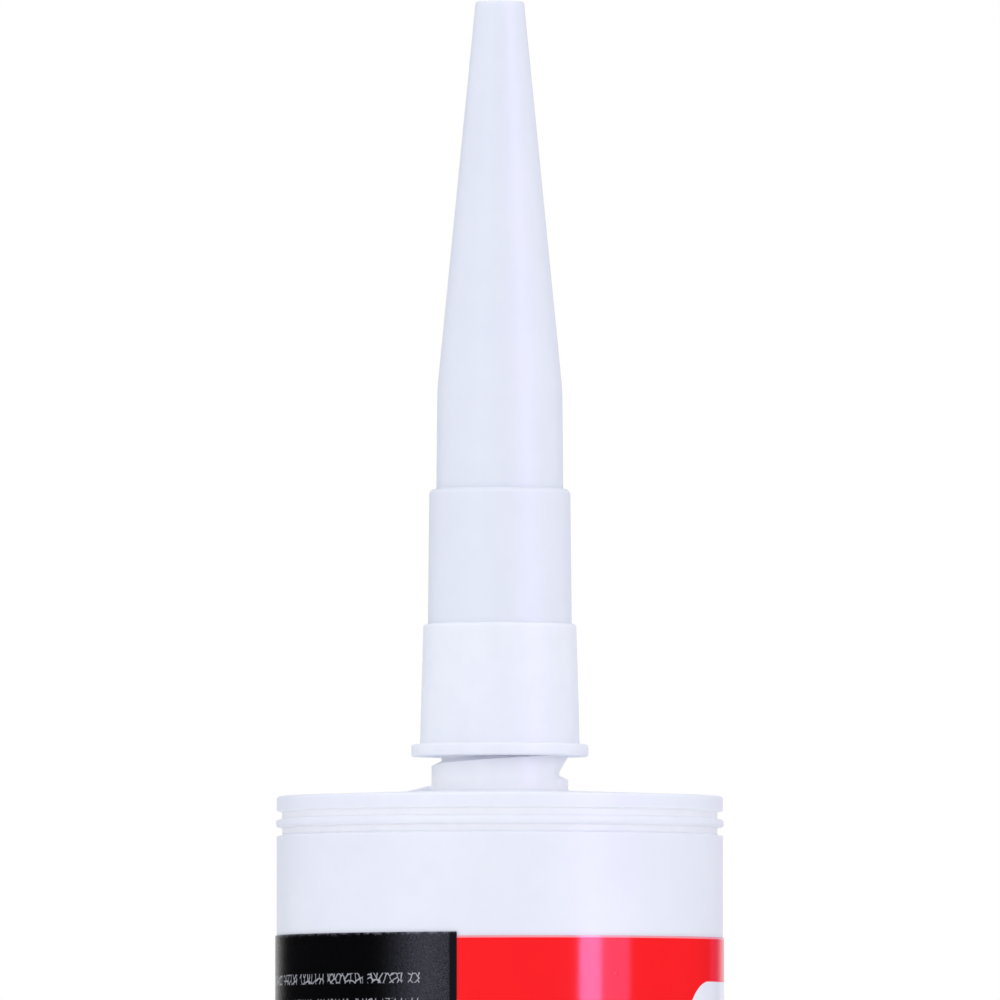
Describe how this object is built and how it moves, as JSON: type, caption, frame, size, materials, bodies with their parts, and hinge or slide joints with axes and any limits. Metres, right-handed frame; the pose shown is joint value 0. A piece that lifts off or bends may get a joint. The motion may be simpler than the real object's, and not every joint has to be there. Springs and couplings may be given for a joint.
{
  "type": "sealant cartridge with screw-on nozzle",
  "caption": "Cylindrical white plastic cartridge with a wrap-round label, a threaded neck, a long tapered screw-on nozzle and a follower piston inside its open rear end.",
  "frame": {"origin": "centre of the open rear end, in the plane of the rear rim that the cartridge stands on", "axes": "+Z along the tube, from the open rear end to the nozzle's tip; -Y is the front, and the label's lap lies a little to its left"},
  "size_m": [0.0499, 0.0498, 0.3035],
  "materials": {
    "barrel_plastic": "satin",
    "nozzle_plastic": "satin",
    "piston_plastic": "satin",
    "sealant_paste": "gloss",
    "label_film": "gloss"
  },
  "bodies": {
    "cartridge": {"cartridge_barrel": "barrel_plastic", "wrap_label": "label_film", "sealant": "sealant_paste"},
    "nozzle": {"nozzle": "nozzle_plastic"},
    "piston": {"piston": "piston_plastic"}
  },
  "joints": [
    {"name": "nozzle_lift", "type": "slide", "parent": "cartridge", "child": "nozzle", "axis": [0, 0, 1], "range_m": [-0.003, 0.03]},
    {"name": "piston_slide", "type": "slide", "parent": "cartridge", "child": "piston", "axis": [0, 0, 1], "range_m": [0, 0.183], "deforming": ["sealant"]}
  ]
}
